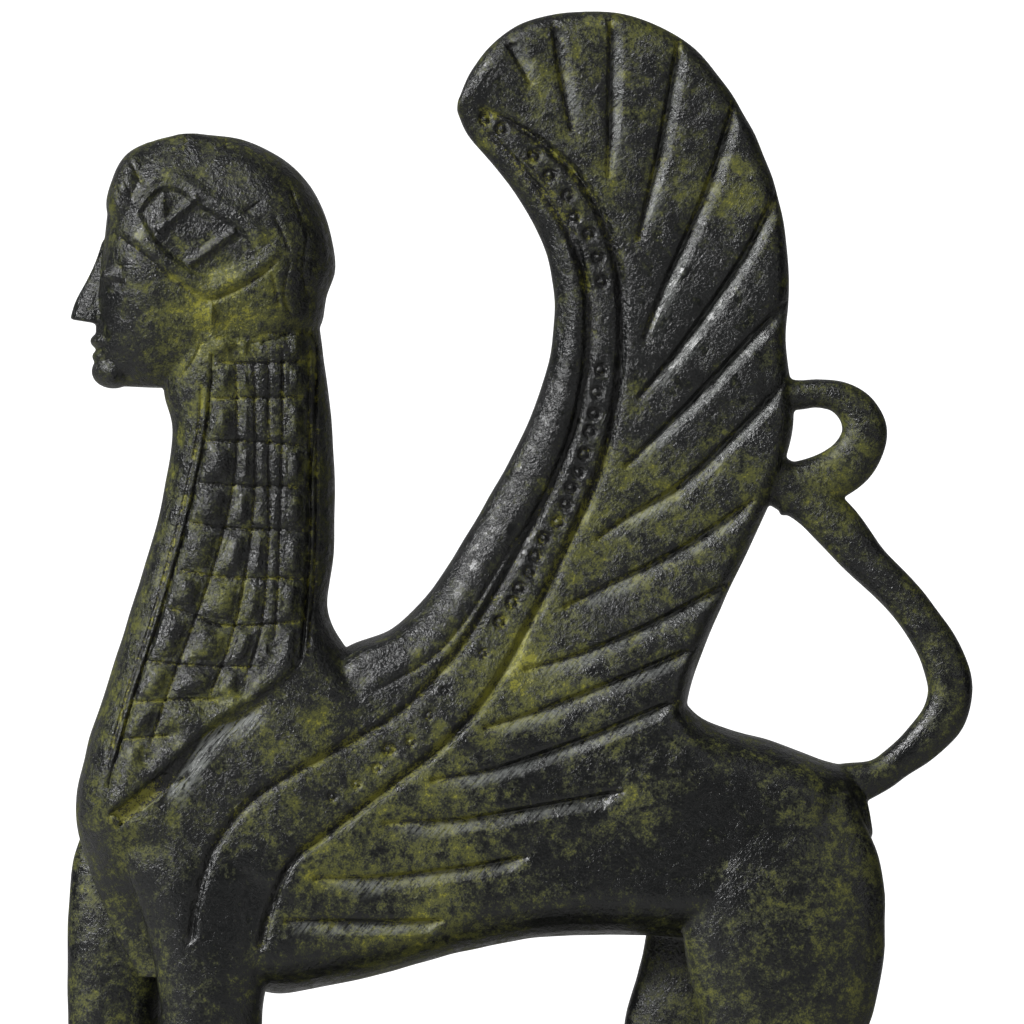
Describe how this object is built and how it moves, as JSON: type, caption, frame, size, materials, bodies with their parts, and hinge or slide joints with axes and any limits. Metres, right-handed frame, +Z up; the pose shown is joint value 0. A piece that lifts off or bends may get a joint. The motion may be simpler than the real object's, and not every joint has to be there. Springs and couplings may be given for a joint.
{
  "type": "sphinx statue",
  "caption": "Standing archaic sphinx in profile, with a curled feathered wing and a looped tail, cast in bronze on a low plinth.",
  "frame": {"origin": "on the ground, under the middle of the plinth", "axes": "+Z up; the figure faces -X; its left flank, the one the picture shows, is on the -Y side"},
  "size_m": [0.122, 0.036, 0.1618],
  "materials": {
    "bronze": "waxed green-black patina, yellow-green in the cuts",
    "plinth_bronze": "waxed green-black patina"
  },
  "bodies": {
    "root": {"sphinx": "bronze", "plinth": "plinth_bronze"}
  },
  "joints": []
}
